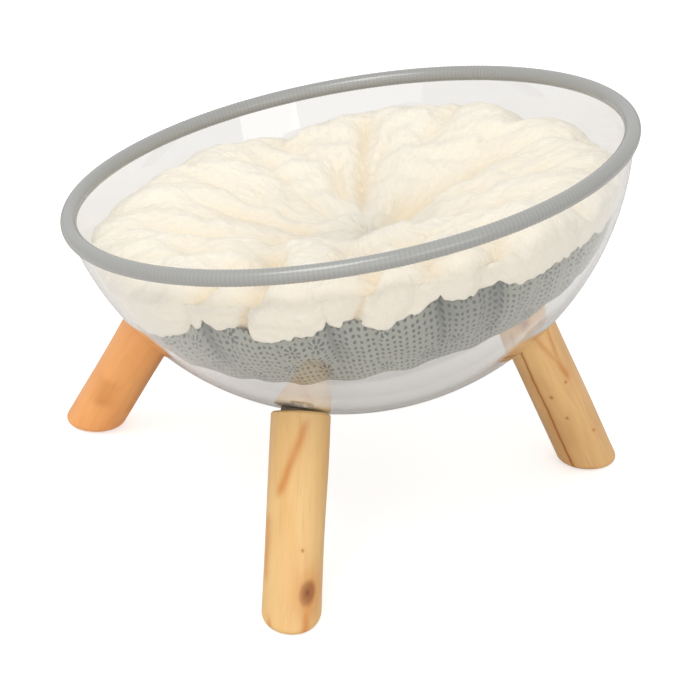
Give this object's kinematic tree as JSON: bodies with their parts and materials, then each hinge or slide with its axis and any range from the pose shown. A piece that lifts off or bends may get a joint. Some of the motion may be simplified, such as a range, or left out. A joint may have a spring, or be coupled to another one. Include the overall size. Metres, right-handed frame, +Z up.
{
  "type": "capsule cat bed",
  "caption": "Clear hemispherical pet bed bowl with a gripped rim strip, tilted on splayed log legs, holding a gathered plush cushion that lifts out.",
  "frame": {"origin": "On the floor, under the middle of the whole bed's bounding box.", "axes": "+Z up; -Y towards the front leg, the side that the picture is taken from; +X to the right in the picture. The bowl tips towards the left and slightly back."},
  "size_m": [0.4205, 0.4096, 0.3019],
  "materials": {
    "clear_acrylic": "clear, polished",
    "grey_trim": "finely ribbed, satin",
    "cream_plush": "short dense pile",
    "printed_cotton": "grey green cotton with a small scattered print",
    "fibre_fill": "soft white filling",
    "pine_log": "peeled, sanded, clear coat",
    "spacer_rubber": "matt",
    "plated_steel": "bright zinc plate",
    "insert_brass": "turned"
  },
  "bodies": {
    "stand": {"bowl": "clear_acrylic", "rim_trim": "grey_trim", "leg_front": "pine_log", "leg_right": "pine_log", "leg_left": "pine_log", "spacer_front": "spacer_rubber", "spacer_right": "spacer_rubber", "spacer_left": "spacer_rubber", "bolt_front": "plated_steel", "bolt_right": "plated_steel", "bolt_left": "plated_steel", "washer_front": "plated_steel", "washer_right": "plated_steel", "washer_left": "plated_steel", "insert_front": "insert_brass", "insert_right": "insert_brass", "insert_left": "insert_brass"},
    "cushion": {"cushion_top": "cream_plush", "cushion_base": "printed_cotton", "cushion_fill": "fibre_fill"}
  },
  "joints": [
    {"name": "cushion_lift", "type": "slide", "parent": "stand", "child": "cushion", "axis": [-0.1945, 0.0949, 0.9763], "range_m": [0, 0.2]}
  ]
}
